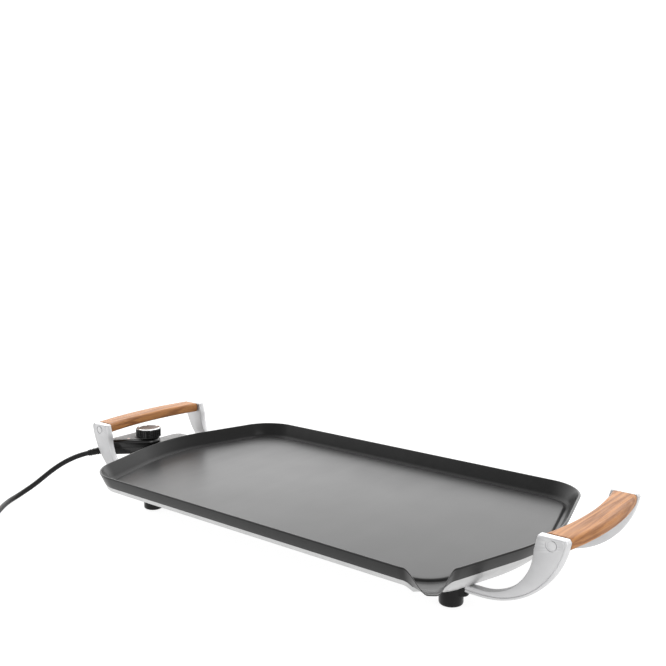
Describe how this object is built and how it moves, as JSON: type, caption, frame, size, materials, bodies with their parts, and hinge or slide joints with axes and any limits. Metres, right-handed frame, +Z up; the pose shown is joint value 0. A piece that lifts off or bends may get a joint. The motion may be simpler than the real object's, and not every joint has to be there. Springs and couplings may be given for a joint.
{
  "type": "electric griddle",
  "caption": "Long electric griddle with bowed ends, a pouring spout, wooden handles on cast brackets and a plug-in temperature controller.",
  "frame": {"origin": "on the worktop, in the middle of the four feet and under the middle of the cooking plate", "axes": "+X along the plate to the right-hand handle, away from the controller; +Y to the back, away from the spout; +Z up"},
  "size_m": [0.7924, 0.5637, 0.099],
  "materials": {
    "plate_coating": "fine-grained non-stick coating, satin",
    "element_sheath": "heat-darkened sheath",
    "zinc_steel": "zinc plated",
    "steatite": "matt",
    "nickel_pins": "nickel plated",
    "pan_silver": "silver, satin",
    "bright_aluminium": "bright",
    "shelf_grey": "light grey, satin",
    "pad_rubber": "matt",
    "foot_black": "satin moulded",
    "cast_silver": "fine satin casting",
    "grip_wood": "oiled acacia",
    "controller_black": "gloss moulded",
    "faceplate_silver": "satin",
    "pilot_lens": "clear, pale",
    "contact_brass": "plain",
    "bimetal": "plain",
    "knob_black": "gloss, ribbed",
    "trim_chrome": "polished",
    "dial_pale": "pale, satin",
    "lead_black": "smooth, satin",
    "tie_black": "matt"
  },
  "bodies": {
    "griddle": {"griddle_plate": "plate_coating", "heating_element": "element_sheath", "element_clamps": "zinc_steel", "clamp_screws": "zinc_steel", "terminal_block": "steatite", "terminal_pins": "nickel_pins", "probe_well": "zinc_steel", "base_pan": "pan_silver", "heat_reflector": "bright_aluminium", "controller_shelf": "shelf_grey", "shelf_screws": "zinc_steel", "pan_screws": "zinc_steel", "foot_front_left": "foot_black", "foot_front_right": "foot_black", "foot_back_left": "foot_black", "foot_back_right": "foot_black", "foot_pads": "pad_rubber", "foot_screws": "zinc_steel", "foot_nuts": "zinc_steel", "bracket_front_left": "cast_silver", "bracket_front_right": "cast_silver", "bracket_back_left": "cast_silver", "bracket_back_right": "cast_silver", "grip_left": "grip_wood", "grip_right": "grip_wood", "grip_screws": "zinc_steel", "screw_caps": "cast_silver"},
    "controller": {"controller_lower_shell": "controller_black", "controller_upper_shell": "controller_black", "controller_faceplate": "faceplate_silver", "controller_screws": "zinc_steel", "pilot_lens": "pilot_lens", "contact_sockets": "contact_brass", "probe_rod": "nickel_pins", "thermostat_base": "steatite", "contact_blade": "contact_brass", "bimetal_blade": "bimetal", "spindle_bush": "contact_brass", "strain_relief": "lead_black", "cord": "lead_black", "cord_coil": "lead_black", "cord_tie": "tie_black", "plug_body": "lead_black", "plug_blades": "nickel_pins"},
    "knob_group": {"knob": "knob_black", "knob_trim_ring": "trim_chrome", "knob_dial": "dial_pale", "knob_spindle": "nickel_pins"},
    "adjuster": {"plunger": "steatite"}
  },
  "joints": [
    {"name": "controller_unplug", "type": "slide", "parent": "griddle", "child": "controller", "axis": [-1, 0, 0], "range_m": [0, 0.115]},
    {"name": "knob_turn", "type": "hinge", "parent": "controller", "child": "knob_group", "pos_m": [-0.323, -0.024, 0.078], "axis": [0, 0, -1], "range_deg": [0, 270]},
    {"name": "plunger_travel", "type": "slide", "parent": "controller", "child": "adjuster", "axis": [0, 0, 1], "range_m": [0, 0.0012]}
  ],
  "couplings": [
    {"joint": "plunger_travel", "follows": "knob_turn", "m_per_rad": 0.00025}
  ]
}
